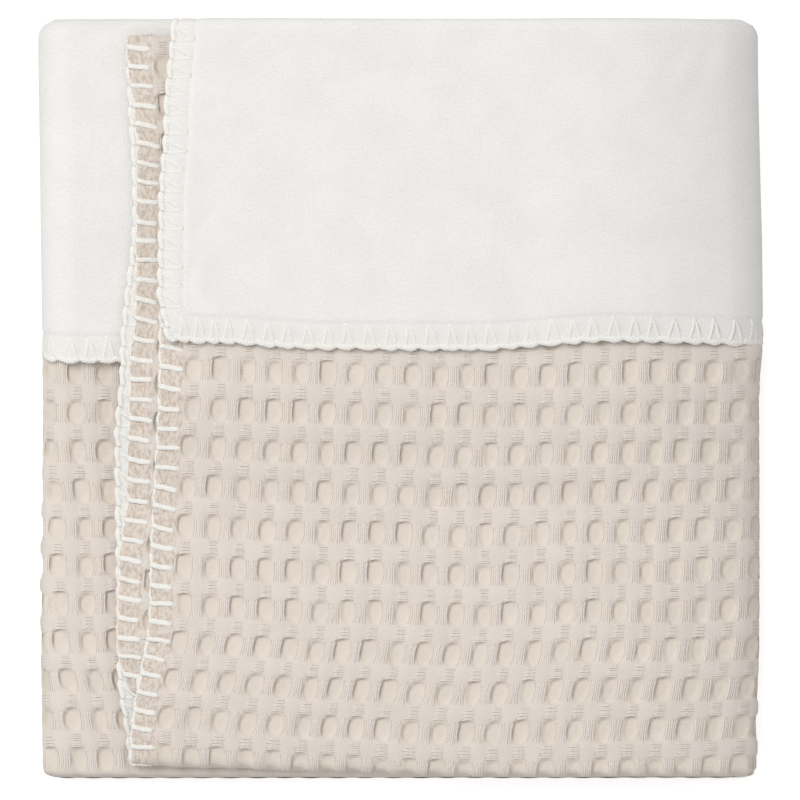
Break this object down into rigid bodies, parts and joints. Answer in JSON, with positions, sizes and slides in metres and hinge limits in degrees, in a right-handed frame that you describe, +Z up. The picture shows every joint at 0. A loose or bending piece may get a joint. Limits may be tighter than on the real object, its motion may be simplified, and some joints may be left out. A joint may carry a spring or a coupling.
{
  "type": "folded waffle weave cotton blanket",
  "caption": "Folded cotton blanket: beige big-cell waffle weave face with an off-white flannel lining turned down over the top, cut edges in thick blanket stitch.",
  "frame": {"origin": "middle of the folded pack's underside", "axes": "+Z up through the pack's thickness, +Y along the pack to the fold at the top where the flap turns down, +X to the right as seen from above"},
  "size_m": [0.2918, 0.3058, 0.0437],
  "materials": {
    "waffle_cotton": "matte big-cell waffle weave cotton, beige",
    "brushed_flannel": "soft brushed cotton flannel, off-white",
    "stitch_yarn": "thick soft cotton yarn, off-white"
  },
  "bodies": {
    "root": {"waffle_cloth": "waffle_cotton", "flannel_lining": "brushed_flannel"}
  },
  "joints": []
}
